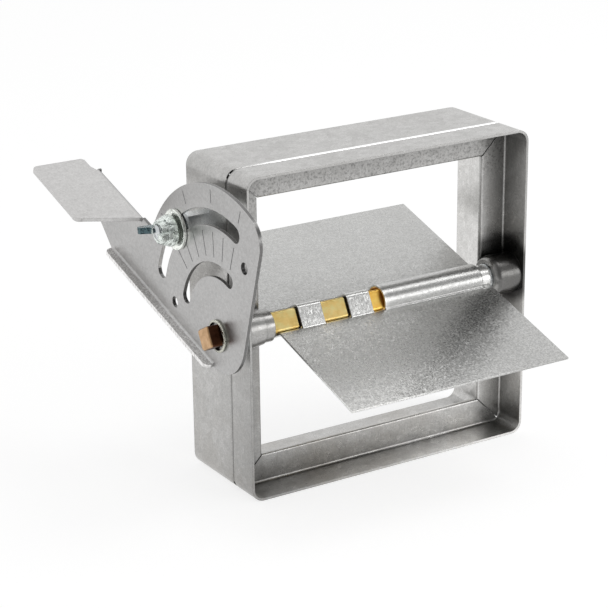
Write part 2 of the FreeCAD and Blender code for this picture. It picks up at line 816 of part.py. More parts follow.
def make_stud():
    body = new_body("locking_stud")
    profile = new_sketch(body, "XY_Plane", "Profile")
    head = -half_width + sheet_thickness
    rounding = size("stud_head_height") / 3
    outline(profile, [
        (stud_end, 0), (head + size("stud_head_height"), 0),
        (head + size("stud_head_height"), size("stud_head_radius") - rounding),
        (head + size("stud_head_height") - rounding, size("stud_head_radius")),
        (head, size("stud_head_radius")), (head, size("stud_radius")),
        (stud_end + rounding, size("stud_radius")), (stud_end, size("stud_radius") - rounding),
    ])
    revolve(body, profile)
    place_on_stud(body)
    return body


def make_nut():
    """The hexagon nut that clamps the stud to the casing wall, behind the plate."""
    body = new_body("stud_nut")
    height = size("plate_standoff") - size("plate_play") - size("back_washer_thickness")
    section = new_sketch(body, "YZ_Plane", "Hexagon", offset=-half_width - height)
    across_corners = size("nut_across_flats") / math.sqrt(3)
    outline(section, [polar(across_corners, as_size(60 * corner)) for corner in range(6)])
    circle(section, 0, 0, size("stud_radius"))
    pad(body, section, height)
    place_on_stud(body)
    return body


def washer(label, start, thickness, radius):
    """A flat washer whose outer face lies at start."""
    body = new_body(label)
    section = new_sketch(body, "YZ_Plane", "Section", offset=start)
    circle(section, 0, 0, radius)
    circle(section, 0, 0, size("stud_radius") + size("washer_clearance"))
    pad(body, section, thickness)
    place_on_stud(body)
    return body


def make_spring_washer():
    body = washer("spring_washer", wing_base, size("spring_washer_thickness"), size("spring_washer_radius"))
    gap = size("spring_washer_gap") / 2
    split = new_sketch(body, "YZ_Plane", "Split", offset=wing_base)
    outline(split, [(0, -gap), (size("spring_washer_radius") * 2, -gap),
                    (size("spring_washer_radius") * 2, gap), (0, gap)])
    pocket(body, split, size("spring_washer_thickness"), reverse=True)
    return body


def make_wing_nut():
    body = new_body("wing_nut")
    top = wing_base - size("wing_hub_height")
    flange = wing_base - size("wing_flange_height")
    bore = size("stud_radius") + size("thread_clearance")
    hub = new_sketch(body, "XY_Plane", "Hub")
    outline(hub, [
        (wing_base, bore), (wing_base, size("wing_hub_radius")), (flange, size("wing_hub_radius")),
        (top, size("wing_hub_top_radius")), (top, bore),
    ])
    revolve(body, hub)

    span = size("wing_span_radius")
    tip = wing_base - size("wing_height")
    rounding = size("wing_tip_radius")
    inner = (bore + size("wing_hub_top_radius")) / 2
    for side in (1, -1):
        wing = new_sketch(body, "XY_Plane", "FirstWing" if side > 0 else "SecondWing")
        outline(wing, [
            (flange, inner * side), (flange, size("wing_hub_radius") * side, size("wing_back_radius") * side),
            (wing_base - size("wing_shoulder_height"), (span - rounding / 2) * side),
            (tip + rounding, span * side, rounding * side), (tip, (span - rounding) * side),
            (tip + rounding / 4, (span - rounding * 2) * side, -size("wing_hollow_radius") * side),
            (top, inner * side),
        ])
        pad(body, wing, size("wing_thickness"), middle=True)
    place_on_stud(body, size("wing_angle"))
    return body


bodies = [
    make_casing(), make_blade(), make_bar(), make_pin(), make_plate(), make_spacer(), make_ring(),
    make_stud(), make_nut(),
    washer("back_washer", plate_inner + size("plate_play"), size("back_washer_thickness"),
           size("back_washer_radius")),
    washer("flat_washer", plate_outer - size("plate_play") - size("flat_washer_thickness"),
           size("flat_washer_thickness"), size("flat_washer_radius")),
    make_spring_washer(), make_wing_nut(),
]
document.recompute()

for item in document.Objects:
    if {"Invalid", "Error"} & set(item.State):
        raise RuntimeError(f"{item.Name} is {item.State}")
for body in bodies:
    if body.Shape.isNull() or not body.Shape.isValid():
        raise RuntimeError(f"{body.Label} has no valid shape")

os.makedirs("parts", exist_ok=True)
for body in bodies:
    body.Shape.exportStep(f"parts/{body.Label}.step")
    print(body.Label, len(body.Shape.Solids), round(body.Shape.Volume, 1))
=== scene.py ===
"""Looks of the square balancing damper: camera, light, finishes and fine detail around the fixed frame."""
import math

import bpy
from mathutils import Matrix, Vector


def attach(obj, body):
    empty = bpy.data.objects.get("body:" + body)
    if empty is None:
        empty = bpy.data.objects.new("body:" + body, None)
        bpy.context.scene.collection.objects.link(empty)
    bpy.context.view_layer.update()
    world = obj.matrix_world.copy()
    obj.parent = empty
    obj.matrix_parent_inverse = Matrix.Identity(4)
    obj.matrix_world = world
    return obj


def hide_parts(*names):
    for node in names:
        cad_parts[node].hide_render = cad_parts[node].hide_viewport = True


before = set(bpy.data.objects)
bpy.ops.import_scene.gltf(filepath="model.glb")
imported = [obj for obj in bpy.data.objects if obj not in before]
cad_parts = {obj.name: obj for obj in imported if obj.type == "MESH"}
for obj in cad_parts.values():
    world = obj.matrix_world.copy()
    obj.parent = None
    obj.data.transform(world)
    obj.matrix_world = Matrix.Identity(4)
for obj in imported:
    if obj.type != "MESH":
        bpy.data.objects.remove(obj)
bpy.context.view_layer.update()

WHITE = (1.0, 1.0, 1.0)
FINE_BUMP = 0.00005

# Places on the part, in metres: X along the bar, Y from front to back, Z up
AXIS_Y, AXIS_Z = 0.0088, 0.0028
TILT = math.radians(16.8)
RIB_FACE = 0.0132
FLOOR_Z = -0.0626
PLATE_FACE, PLATE_SHEET = -0.0704, 0.0015
SLOT_RADIUS, SLOT_HALF_WIDTH = 0.044, 0.00315
STUD_ANGLE = math.radians(48.7)
STUD_Y = AXIS_Y + SLOT_RADIUS * math.cos(STUD_ANGLE)
STUD_Z = AXIS_Z + SLOT_RADIUS * math.sin(STUD_ANGLE)


class Tree:
    """A material's node tree, built with short calls. Positions are those of the frame at rest."""

    def __init__(self, name):
        self.material = bpy.data.materials.new(name)
        self.material.use_nodes = True
        self.tree = self.material.node_tree
        self.tree.nodes.clear()
        self.output = self.add("ShaderNodeOutputMaterial")
        self.shader = self.add("ShaderNodeBsdfPrincipled")
        self.link(self.shader.outputs[0], self.output.inputs[0])
        self.place = self.add("ShaderNodeTexCoord").outputs["Object"]

    def add(self, kind, **settings):
        node = self.tree.nodes.new(kind)
        for key, value in settings.items():
            setattr(node, key, value)
        return node

    def link(self, source, target):
        self.tree.links.new(source, target)

    def put(self, socket, value):
        """Link a socket into a socket, or set a plain value on it."""
        if isinstance(value, bpy.types.NodeSocket):
            self.link(value, socket)
        else:
            socket.default_value = value

    def finish(self, colour, metallic, roughness, normal=None):
        """Set the shader's looks and give the material back."""
        looks = {"Base Color": colour, "Metallic": metallic, "Roughness": roughness}
        if normal is not None:
            looks["Normal"] = normal
        for name, value in looks.items():
            self.put(self.shader.inputs[name], value)
        return self.material

    def position(self):
        """The sockets of X, Y and Z."""
        axes = self.add("ShaderNodeSeparateXYZ")
        self.link(self.place, axes.inputs[0])
        return axes.outputs

    def stretched(self, scale, turn=(0, 0, 0)):
        node = self.add("ShaderNodeMapping")
        self.link(self.place, node.inputs["Vector"])
        node.inputs["Scale"].default_value = scale
        node.inputs["Rotation"].default_value = turn
        return node.outputs[0]

    def noise_node(self, scale, detail, roughness, distortion=0.0, vector=None):
        node = self.add("ShaderNodeTexNoise")
        self.link(vector or self.place, node.inputs["Vector"])
        settings = {"Scale": scale, "Detail": detail, "Roughness": roughness, "Distortion": distortion}
        for name, number in settings.items():
            node.inputs[name].default_value = number
        return node

    def noise(self, scale, detail=4.0, roughness=0.55, distortion=0.0, vector=None):
        return self.noise_node(scale, detail, roughness, distortion, vector).outputs["Fac"]

    def noise_vector(self, scale, vector=None):
        return self.noise_node(scale, 2.0, 0.5, vector=vector).outputs["Color"]

    def crystal_vector(self, scale):
        """A random vector per crystal."""
        node = self.add("ShaderNodeTexVoronoi")
        self.link(self.place, node.inputs["Vector"])
        node.inputs["Scale"].default_value = scale
        return node.outputs["Color"]

    def cells(self, scale):
        """One grey value per crystal."""
        split = self.add("ShaderNodeSeparateColor")
        self.link(self.crystal_vector(scale), split.inputs[0])
        return split.outputs[0]

    def ramp(self, value, low, high, start=0.0, end=1.0):
        """Map value from low..high to start..end, clamped."""
        node = self.add("ShaderNodeMapRange")
        self.link(value, node.inputs["Value"])
        for name, number in (("From Min", low), ("From Max", high), ("To Min", start), ("To Max", end)):
            node.inputs[name].default_value = number
        return node.outputs[0]

    def past(self, value, place, blend):
        """0 below place and 1 above it, over a distance of blend to either side."""
        return self.ramp(value, place - blend, place + blend)

    def before(self, value, place, blend):
        """1 below place and 0 above it, over a distance of blend to either side."""
        return self.ramp(value, place + blend, place - blend)

    def near(self, value, target, reach):
        """1 where value is within reach of target."""
        node = self.add("ShaderNodeMath", operation="COMPARE")
        self.link(value, node.inputs[0])
        node.inputs[1].default_value = target
        node.inputs[2].default_value = reach
        return node.outputs[0]

    def math(self, kind, *values):
        """The values put together one after the other."""
        result = values[0]
        for value in values[1:]:
            node = self.add("ShaderNodeMath", operation=kind)
            self.put(node.inputs[0], result)
            self.put(node.inputs[1], value)
            result = node.outputs[0]
        return result

    def product(self, *factors):
        return self.math("MULTIPLY", *factors)

    def total(self, *terms):
        return self.math("ADD", *terms)

    def blend(self, factor, first, second):
        node = self.add("ShaderNodeMix", data_type="RGBA")
        self.put(node.inputs[0], factor)
        for socket, value in ((node.inputs[6], first), (node.inputs[7], second)):
            self.put(socket, value if isinstance(value, bpy.types.NodeSocket) else (*value, 1.0))
        return node.outputs[2]

    def toned(self, shade, mask, factor):
        """shade times factor where mask is 1. Both may vary from place to place."""
        if isinstance(factor, bpy.types.NodeSocket):
            return self.product(shade, self.blend(mask, WHITE, factor))
        return self.product(shade, self.ramp(mask, 0.0, 1.0, 1.0, factor))

    def darkened(self, colour, factor):
        """colour times the factor socket."""
        node = self.add("ShaderNodeVectorMath", operation="SCALE")
        self.link(colour, node.inputs[0])
        self.link(factor, node.inputs["Scale"])
        return node.outputs[0]

    def crevice(self, distance, dark, low=0.45, high=1.0, own_only=True):
        """Painted shade from ambient occlusion: dark in a corner, 1 out in the open."""
        node = self.add("ShaderNodeAmbientOcclusion", samples=8, only_local=own_only)
        node.inputs["Distance"].default_value = distance
        return self.ramp(node.outputs["AO"], low, high, dark, 1.0)

    def from_axis(self, y, z):
        """Distance from a line along X through (y, z)."""
        flat = self.add("ShaderNodeVectorMath", operation="MULTIPLY")
        self.link(self.place, flat.inputs[0])
        flat.inputs[1].default_value = (0.0, 1.0, 1.0)
        apart = self.add("ShaderNodeVectorMath", operation="DISTANCE")
        self.link(flat.outputs[0], apart.inputs[0])
        apart.inputs[1].default_value = (0.0, y, z)
        return apart.outputs["Value"]

    def rounded_edges(self, radius):
        """The normal with the edges rounded off."""
        node = self.add("ShaderNodeBevel", samples=6)
        node.inputs["Radius"].default_value = radius
        return node.outputs[0]

    def edge_mask(self, rounded):
        """1 on a sheet's edge, 0 on a flat."""
        geometry = self.add("ShaderNodeNewGeometry")
        dot = self.add("ShaderNodeVectorMath", operation="DOT_PRODUCT")
        self.link(rounded, dot.inputs[0])
        self.link(geometry.outputs["Normal"], dot.inputs[1])
        return self.ramp(dot.outputs["Value"], 0.985, 0.86)

    def bump(self, height, strength, distance, normal):
        node = self.add("ShaderNodeBump")
        self.link(height, node.inputs["Height"])
        self.link(normal, node.inputs["Normal"])
        node.inputs["Strength"].default_value = strength
        node.inputs["Distance"].default_value = distance
        return node.outputs[0]

    def ruffled(self, normal, amounts):
        """The normal with a small random lean for each (vector socket, amount) in amounts."""
        for source, amount in amounts:
            centred = self.add("ShaderNodeVectorMath", operation="SUBTRACT")
            self.link(source, centred.inputs[0])
            centred.inputs[1].default_value = (0.5, 0.5, 0.5)
            lean = self.add("ShaderNodeVectorMath", operation="SCALE")
            self.link(centred.outputs[0], lean.inputs[0])
            self.put(lean.inputs["Scale"], amount)
            leaning = self.add("ShaderNodeVectorMath", operation="ADD")
            self.link(normal, leaning.inputs[0])
            self.link(lean.outputs[0], leaning.inputs[1])
            normal = leaning.outputs[0]
        unit = self.add("ShaderNodeVectorMath", operation="NORMALIZE")
        self.link(normal, unit.inputs[0])
        return unit.outputs[0]


def worn(light):
    """The colour of an edge that is rubbed bright."""
    return tuple(min(1.0, 1.15 * value) for value in light)


def casing_tones(t, colour, shade, pitted):
    """Spots on the top rib, brownish blotches lower down, painted light and shade on walls, rib and hub, and
    a painted highlight on the top seam.
    """
    rib_reach, rib_left_edge, rib_top_edge = 0.0003, -0.0495, 0.045
    right_wall, left_wall, top_wall = 0.0605, -0.0616, 0.06195
    strip_depth, behind_rib_depth, seam_depth, seam_reach = 0.0129, 0.0155, 0.0151, 0.0005
    hub_height, hub_radius, hub_start = AXIS_Z + 0.002, 0.01325, 0.04975
    along, depth, height = t.position()
    shade = t.toned(shade, 0.15, pitted)

    rib = t.near(depth, RIB_FACE, rib_reach)
    spots = t.ramp(t.noise(1000.0, detail=3.0, roughness=0.6), 0.38, 0.50, 0.66, 1.0)
    upward = t.ramp(height, rib_top_edge - 0.003, rib_top_edge + 0.003, 0.15, 1.0)
    shade = t.toned(shade, t.product(rib, upward), spots)
    # Painted shade on the rib's left face and on the right wall's strip in front of the rib.
    left_rib = t.product(rib, t.before(along, rib_left_edge, 0.0005))
    shade = t.toned(shade, left_rib, 0.92)
    right_strip = t.product(t.past(along, right_wall, 0.0003), t.before(depth, strip_depth, 0.0003))
    shade = t.toned(shade, right_strip, 0.86)
    # Painted shade and light low in front: darker to the left, lighter to the right.
    low_front = t.product(t.before(height, 0.0, 0.050), t.before(depth, 0.015, 0.015))
    shade = t.toned(shade, low_front, t.ramp(along, -0.045, 0.045, 0.72, 1.62))
    # Painted shade on the drawn hub in the right wall.
    off_hub = t.from_axis(AXIS_Y, hub_height)
    drawn_hub = t.product(t.before(off_hub, hub_radius, 0.00175), t.past(along, hub_start, 0.00125))
    shade = t.toned(shade, drawn_hub, 0.27)
    # Painted light on the right wall behind the rib and on the left wall behind the plate, where it shows
    # through the slots.
    behind_rib = t.product(t.past(depth, behind_rib_depth, 0.0005),
                           t.past(along, right_wall - 0.00025, 0.00025))
    shade = t.toned(shade, behind_rib, 1.4)
    beside_plate = t.product(t.before(along, left_wall, 0.0006), t.past(depth, 0.020, 0.012),
                             t.past(height, 0.010, 0.020), t.before(height, 0.051, 0.005))
    shade = t.toned(shade, beside_plate, 1.85)

    # Brownish blotches, stronger towards the bottom.
    brown_blotches = t.ramp(t.noise(26.0, detail=7.0, roughness=0.68), 0.46, 0.72)
    downward = t.ramp(height, 0.060, -0.050, 0.15, 1.0)
    colour = t.blend(t.product(brown_blotches, downward, 0.55), colour, (0.36, 0.335, 0.30))
    # A painted highlight along the seam on top.
    seam_highlight = t.product(t.near(depth, seam_depth, seam_reach), t.past(height, top_wall, 0.00015),
                     t.past(along, -0.048, 0.008))
    colour = t.blend(seam_highlight, colour, WHITE)
    return colour, t.math("MAXIMUM", shade, seam_highlight), None, []


def plate_tones(t, colour, shade, pitted):
    """Painted light on the bent tab, lip and slot wall, hatching on the lip, painted shade on sheet edges and
    in the hole.
    """
    hole_distance, hole_turn, hole_radius = 0.0368, math.radians(105.5) + TILT, 0.0023
    bent_start, lip_below_axis = PLATE_FACE - 0.0006, 0.009
    slot_radius, slot_wall_start = SLOT_RADIUS + SLOT_HALF_WIDTH, -0.01175
    sheet_middle, sheet_reach = PLATE_FACE + PLATE_SHEET / 2, 0.0006
    along, depth, _ = t.position()
    shade = t.toned(shade, 0.10, pitted)

    across = t.add("ShaderNodeVectorMath", operation="DOT_PRODUCT")
    t.link(t.place, across.inputs[0])
    across.inputs[1].default_value = (0.0, -math.sin(TILT), math.cos(TILT))
    axis_across = AXIS_Z * math.cos(TILT) - AXIS_Y * math.sin(TILT)
    # Painted light on the parts bent out of the plate's face, stronger on the lip below the bar.
    lip = t.before(across.outputs["Value"], axis_across - lip_below_axis, 0.001)
    bent = t.before(along, bent_start, 0.0004)
    shade = t.toned(shade, bent, t.ramp(lip, 0.0, 1.0, 1.26, 1.75))
    hatch = t.noise(1500.0, detail=1.0, vector=t.stretched((1.0, 1.0, 0.25), (0.9, 0.0, 0.0)))
    shade = t.toned(shade, t.product(bent, lip), t.ramp(hatch, 0.40, 0.60, 0.80, 1.18))

    # Painted shade in the hole, painted light on the slot's outer wall and painted shade on the sheet's cut
    # edges.
    off_hole = t.from_axis(AXIS_Y + hole_distance * math.cos(hole_turn),
                           AXIS_Z + hole_distance * math.sin(hole_turn))
    shade = t.toned(shade, t.before(off_hole, hole_radius, 0.0001), 0.2)
    slot_wall = t.product(t.near(t.from_axis(AXIS_Y, AXIS_Z), slot_radius, 0.0002),
                          t.past(along, PLATE_FACE + 0.0002, 0.0001),
                          t.past(depth, slot_wall_start, 0.00075))
    shade = t.toned(shade, slot_wall, 5.0)
    shade = t.toned(shade, t.near(along, sheet_middle, sheet_reach), 0.42)
    return colour, shade, None, []


def blade_tones(t, colour, shade, pitted):
    """Painted light and shade on straps, collar, bead and front, and painted reflections: the yellow bar's in
    the bead's mouth, a dark slanting patch in front.
    """
    strap_radius, collar_radius, sheet_start = 0.0070, 0.0077, 0.00875
    mouth_radius, mouth_middle, mouth_reach = 0.0056, 0.0020, 0.0035
    bead_radius, bead_middle, bead_reach = 0.0072, 0.0220, 0.0215
    straps_end, collar_start = -0.0007, 0.04385
    slope, patch_start, patch_end, beyond_patch = 1.53, 0.03975, 0.0557, 0.05725
    along, depth, height = t.position()
    off_axis = t.from_axis(AXIS_Y, AXIS_Z)

    # Painted light on the straps and on the collar.
    strap = t.product(t.before(off_axis, strap_radius, 0.0004), t.before(along, straps_end, 0.0003))
    shade = t.toned(shade, strap, 1.3)
    collar = t.product(t.before(off_axis, collar_radius, 0.0003), t.past(along, collar_start, 0.00035))
    shade = t.toned(shade, collar, 1.65)
    # A painted reflection of the yellow bar in the bead's mouth, painted bright.
    painted_bar_reflection = t.product(t.before(off_axis, mouth_radius, 0.0001), t.near(along, mouth_middle, mouth_reach))
    colour = t.blend(painted_bar_reflection, colour, (0.95, 0.56, 0.10))
    shade = t.math("MAXIMUM", shade, t.product(painted_bar_reflection, 1.05))

    # A painted dark reflection in a slanting patch on the front half, painted light on the left front and
    # painted shade on the right front.
    slant = t.math("SUBTRACT", along, t.product(depth, slope))
    front = t.before(depth, 0.002, 0.002)
    dark_reflection_patch = t.product(t.past(slant, patch_start, 0.00625), t.before(slant, patch_end, 0.0017),
                      t.ramp(depth, -0.034, -0.010, 0.35, 1.0), front,
                      t.past(off_axis, sheet_start, 0.00075))
    shade = t.toned(shade, dark_reflection_patch, 0.66)
    shade = t.toned(shade, t.product(front, t.before(along, 0.0, 0.030)), 1.52)
    right_front = t.product(t.past(slant, beyond_patch, 0.00275), t.before(depth, -0.002, 0.002))
    shade = t.toned(shade, right_front, 0.88)
    # Painted light on the top of the bead and painted shade below it.
    bead = t.product(t.before(off_axis, bead_radius, 0.0002), t.near(along, bead_middle, bead_reach))
    shade = t.toned(shade, bead, t.ramp(height, AXIS_Z + 0.0035, AXIS_Z + 0.0065, 0.86, 1.08))
    grainy = t.total(t.product(dark_reflection_patch, 0.75), t.ramp(slant, 0.005, 0.050, 0.18, 0.32))
    shade = t.toned(shade, grainy, pitted)

    liveliness = t.total(t.ramp(off_axis, 0.0068, 0.0090, 0.35, 1.0), t.product(dark_reflection_patch, 0.5))
    brushed = t.noise_vector(2300.0, vector=t.stretched((1.0, 0.3, 0.3)))
    return colour, shade, liveliness, [(brushed, t.product(strap, 0.34))]


def galvanised(name, dark, light, tones, crystal_scale, grain_scale, grain_stretch, ruffle_scale, lean,
               rough, corner, edge_colour=None, edge_share=0.5, metallic=1.0):
    """Hot-dip zinc: crystals that each lean their own way, rolling grain, scuffs, marked edges and painted
    shade in corners.

    tones is the function with the piece's painted light and shade and other tones of its own. It returns the
    colour, the shade, how lively the leans are (a socket, or None where they are the same everywhere) and
    more leans.
    """
    t = Tree(name)
    crystals, small_crystals = t.cells(crystal_scale), t.cells(crystal_scale * 2.7)
    cloud = t.noise(38.0, detail=5.0, roughness=0.6)
    grain = t.noise(grain_scale, detail=4.0, roughness=0.65, vector=t.stretched(grain_stretch))
    speck = t.noise(2600.0, detail=2.0)
    mottle = t.total(t.product(crystals, 0.30), t.product(small_crystals, 0.20), t.product(cloud, 0.55),
                     t.product(grain, 0.45))
    mottle = t.ramp(mottle, 0.40, 1.10)
    colour = t.blend(mottle, dark, light)
    scuff = t.noise(210.0, detail=6.0, roughness=0.72, vector=t.stretched((1.0, 0.35, 0.6)))
    scuff = t.ramp(scuff, 0.60, 0.74)
    colour = t.blend(t.product(scuff, 0.3), colour, tuple(0.80 * value for value in dark))
    rounded = t.rounded_edges(0.00025)
    # Edges are rubbed bright; where edge_colour is given, as on the casing, they take painted shade instead.
    colour = t.blend(t.product(t.edge_mask(rounded), edge_share), colour, edge_colour or worn(light))

    pitted = t.ramp(t.noise(1500.0, detail=1.0), 0.38, 0.62, 0.55, 1.50)
    # The shade starts as painted shade in corners (corner), and tones adds painted light and shade of its
    # own.
    colour, shade, liveliness, more_leans = tones(t, colour, t.crevice(*corner), pitted)
    roughness = t.total(t.ramp(mottle, 0.0, 1.0, rough + 0.05, rough - 0.04),
                        t.ramp(speck, 0.3, 0.7, -0.03, 0.04))
    fine = t.bump(t.total(t.product(grain, 0.7), t.product(speck, 0.3)), 0.25, FINE_BUMP, rounded)
    amounts = [lean, lean * 0.3]
    if liveliness is not None:
        amounts = [t.product(liveliness, amount) for amount in amounts]
    leans = list(zip((t.noise_vector(ruffle_scale), t.crystal_vector(crystal_scale)), amounts))
    return t.finish(t.darkened(colour, shade), metallic, roughness, t.ruffled(fine, leans + more_leans))


def plating(t, cloud_scale):
    """The cloudy tone and the fine scratches of electroplated zinc."""
    cloud = t.noise(cloud_scale, detail=5.0, roughness=0.6, distortion=0.4)
    scratch = t.noise(900.0, detail=3.0, vector=t.stretched((0.05, 1.0, 1.0)))
    return t.ramp(t.total(cloud, t.product(scratch, 0.35)), 0.48, 0.86), scratch


def plated(name, dark, light, rough):
    """Electroplated zinc with rubbed edges."""
    t = Tree(name)
    mottle, scratch = plating(t, 220.0)
    rounded = t.rounded_edges(0.0003)
    colour = t.blend(t.product(t.edge_mask(rounded), 0.45), t.blend(mottle, dark, light), worn(light))
    return t.finish(colour, 1.0, t.ramp(mottle, 0.0, 1.0, rough + 0.08, rough - 0.04),
                    t.bump(scratch, 0.25, FINE_BUMP, rounded))


def square_bar_finish(name):
    """Yellow passivated zinc in the duct, dulled to tan and dark brown on the end outside the plate."""
    slit_shadow_places, slit_shadow_reach = (-0.0386, -0.0171), 0.00045
    last_window, tan_end = -0.0073, -0.0758
    t = Tree(name)
    mottle, scratch = plating(t, 240.0)
    along = t.position()[0]
    bloom = t.ramp(t.noise(330.0, detail=3.0), 0.42, 0.62)
    yellow = t.blend(mottle, (0.66, 0.46, 0.15), (0.84, 0.64, 0.27))
    yellow = t.blend(t.product(bloom, 0.35), yellow, (0.68, 0.72, 0.38))
    orange = t.blend(mottle, (0.84, 0.46, 0.08), (0.98, 0.68, 0.18))
    yellow = t.blend(t.past(along, last_window, 0.0005), yellow, orange)
    # Painted shadow: dark lines on the bar at the right edges of two windows, where the straps' edges shade
    # it.
    slit_shadows = t.total(*(t.near(along, place, slit_shadow_reach) for place in slit_shadow_places))
    yellow = t.blend(slit_shadows, yellow, (0.02, 0.012, 0.006))
    tan = t.blend(mottle, (0.42, 0.25, 0.12), (0.66, 0.43, 0.24))
    brown = t.blend(mottle, (0.055, 0.020, 0.011), (0.140, 0.058, 0.031))
    dulled = t.blend(t.before(along, tan_end, 0.0003), brown, tan)
    colour = t.blend(t.before(along, PLATE_FACE, 0.0002), yellow, dulled)
    rounded = t.rounded_edges(0.0003)
    colour = t.blend(t.product(t.edge_mask(rounded), 0.35), colour, (0.78, 0.60, 0.36))
    return t.finish(colour, 1.0, t.ramp(mottle, 0.0, 1.0, 0.42, 0.30),
                    t.bump(scratch, 0.25, FINE_BUMP, rounded))


def cast_zinc(name, dark, light, lump_scale, lump_depth, painted_hollow_shade=0.30, is_wing_nut=False):
    """Cast and plated metal: lumpy, with painted highlights on the swells and painted shade in the hollows
    and between parts.
    """
    t = Tree(name)
    lump = t.noise(lump_scale, detail=2.5, roughness=0.55, distortion=1.4)
    small = t.noise(lump_scale * 3.2, detail=3.0, roughness=0.6)
    height = t.total(lump, t.product(small, 0.3))
    swell = t.ramp(height, 0.46 if is_wing_nut else 0.40, 0.62)
    # Painted highlights on the swells and painted shade in the hollows.
    colour = t.blend(swell, dark, light)
    if is_wing_nut:
        # Painted shade: the far wing is darkened to a deep teal.
        far_wing_shade = t.past(t.position()[1], STUD_Y + 0.0041, 0.0005)
        colour = t.blend(far_wing_shade, colour, t.blend(swell, (0.006, 0.014, 0.018), (0.09, 0.14, 0.155)))
    # Painted shade in hollows and between parts, from ambient occlusion.
    colour = t.darkened(colour, t.crevice(0.0018, painted_hollow_shade, own_only=False))
    return t.finish(colour, 1.0, t.ramp(swell, 0.0, 1.0, 0.32, 0.14),
                    t.bump(height, 1.0, lump_depth, t.rounded_edges(0.0005)))


def engraved(name):
    t = Tree(name)
    fleck = t.noise(1800.0, detail=3.0)
    return t.finish(t.blend(fleck, (0.05, 0.05, 0.052), (0.16, 0.16, 0.165)), 0.6, 0.6)


# The casing's edges take painted shade: dark lines along them and in the roots of its bends.
casing_zinc = galvanised(
    "galvanised_casing", (0.43, 0.425, 0.415), (0.55, 0.545, 0.535), casing_tones, crystal_scale=330.0,
    grain_scale=900.0, grain_stretch=(1.0, 1.0, 0.08), ruffle_scale=420.0, lean=0.07, rough=0.30,
    corner=(0.014, 0.52), edge_colour=(0.17, 0.17, 0.165), edge_share=0.7)
blade_zinc = galvanised(
    "galvanised_blade", (0.50, 0.50, 0.49), (0.62, 0.62, 0.61), blade_tones, crystal_scale=1400.0,
    grain_scale=1900.0, grain_stretch=(1.0, 0.5, 1.0), ruffle_scale=2000.0, lean=0.25, rough=0.29,
    corner=(0.0022, 0.2, 0.45, 0.9), metallic=0.88)
plate_zinc = galvanised(
    "galvanised_plate", (0.42, 0.415, 0.41), (0.51, 0.505, 0.50), plate_tones, crystal_scale=900.0,
    grain_scale=1300.0, grain_stretch=(1.0, 0.08, 1.0), ruffle_scale=800.0, lean=0.05, rough=0.33,
    corner=(0.003, 0.15, 0.22, 0.72))
yellow_zinc = square_bar_finish("yellow_zinc")
bright_zinc = plated("bright_zinc", (0.42, 0.45, 0.47), (0.78, 0.80, 0.80), 0.16)
nut_zinc = cast_zinc("wing_nut_zinc", (0.06, 0.085, 0.075), (0.86, 0.92, 0.88), 330.0, 0.0011,
                     is_wing_nut=True)
washer_zinc = cast_zinc("washer_zinc", (0.40, 0.42, 0.39), (0.96, 0.99, 0.94), 420.0, 0.0003,
                        painted_hollow_shade=1.0)
spring_zinc = cast_zinc("spring_zinc", (0.03, 0.035, 0.03), (0.34, 0.37, 0.33), 420.0, 0.0003)
ring_zinc = cast_zinc("ring_zinc", (0.10, 0.10, 0.085), (0.66, 0.66, 0.58), 900.0, 0.0003)
marks_dark = engraved("engraved_marks")

FINISH = {
    "casing": casing_zinc, "blade": blade_zinc, "handle_plate": plate_zinc, "square_bar": yellow_zinc,
    "pivot_pin": bright_zinc, "bar_spacer": bright_zinc, "retaining_ring": ring_zinc,
    "locking_stud": bright_zinc, "stud_nut": bright_zinc, "back_washer": bright_zinc,
    "flat_washer": washer_zinc, "spring_washer": spring_zinc, "wing_nut": nut_zinc,
}
for node, finish in FINISH.items():
    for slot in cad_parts[node].material_slots:
        slot.material = finish


def new_piece(name, points, faces, finish, body, smooth=False):
    mesh = bpy.data.meshes.new(name)
    mesh.from_pydata([tuple(point) for point in points], [], faces)
    mesh.update()
    if smooth:
        mesh.polygons.foreach_set("use_smooth", [True] * len(mesh.polygons))
    piece = bpy.data.objects.new(name, mesh)
    bpy.context.scene.collection.objects.link(piece)
    mesh.materials.append(finish)
    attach(piece, body)
    return piece


def handle_point(radius, angle, x):
    """A point on the handle plate: polar about the bar, turned by the tilt at rest."""
    turn = angle + TILT
    return x, AXIS_Y + radius * math.cos(turn), AXIS_Z + radius * math.sin(turn)


def scale_marks():
    """Engraved lines of the quadrant's scale, as thin bars sunk into the plate's outer face."""
    first_angle, inner_step, outer_step = 2.2, 11.25, 22.5
    half_width, proud, sunk = 0.00016, 0.00002, 0.0001
    rows = [(0.0295, 0.039, first_angle + inner_step * step) for step in range(2, 9)]
    rows += [(0.0495, 0.0545, first_angle + outer_step * step) for step in range(1, 5)]
    points, faces = [], []
    for inner, outer, angle in rows:
        turn = math.radians(angle)
        first = len(points)
        for x in (PLATE_FACE - proud, PLATE_FACE + sunk):
            for radius, side in ((inner, -1), (outer, -1), (outer, 1), (inner, 1)):
                points.append(handle_point(radius, turn + side * half_width / radius, x))
        faces.append((first, first + 1, first + 2, first + 3))
        faces.append((first + 7, first + 6, first + 5, first + 4))
        for corner in range(4):
            following = (corner + 1) % 4
            faces.append((first + corner, first + 4 + corner, first + 4 + following, first + following))
    new_piece("scale_marks", points, faces, marks_dark, "blade_and_handle")


